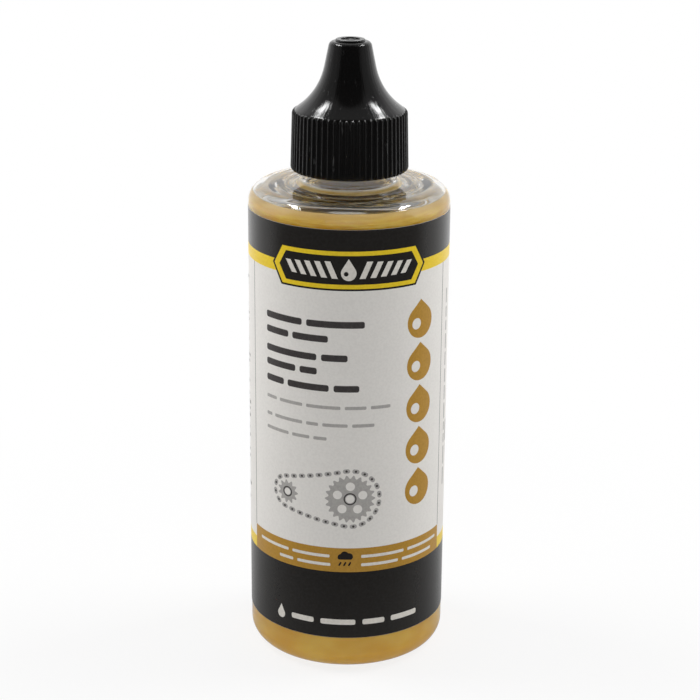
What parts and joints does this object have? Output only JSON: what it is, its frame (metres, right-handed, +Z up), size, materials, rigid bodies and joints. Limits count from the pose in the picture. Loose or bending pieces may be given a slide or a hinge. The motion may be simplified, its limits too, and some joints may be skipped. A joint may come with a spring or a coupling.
{
  "type": "chain lube bottle",
  "caption": "Clear squeeze bottle of golden bicycle chain oil with a wrap label, a dropper plug in its neck and a black ribbed overcap.",
  "frame": {"origin": "centre of the ring that the bottle stands on", "axes": "+Z up along the axis that all pieces are turned about, towards the cap; the label's front faces -Y and its lap is at +Y"},
  "size_m": [0.0416, 0.0417, 0.1303],
  "materials": {
    "clear_plastic": "clear, glossy",
    "lubricant": "clear golden oil",
    "label_film": "printed film, soft sheen",
    "natural_plastic": "undyed satin plastic",
    "cap_plastic": "black moulded plastic, semi-gloss"
  },
  "bodies": {
    "bottle": {"bottle": "clear_plastic", "oil_fill": "lubricant", "wrap_label": "label_film", "dropper_plug": "natural_plastic"},
    "cap": {"screw_cap": "cap_plastic"}
  },
  "joints": [
    {"name": "cap_lift", "type": "slide", "parent": "bottle", "child": "cap", "axis": [0, 0, 1], "range_m": [0, 0.032]}
  ]
}
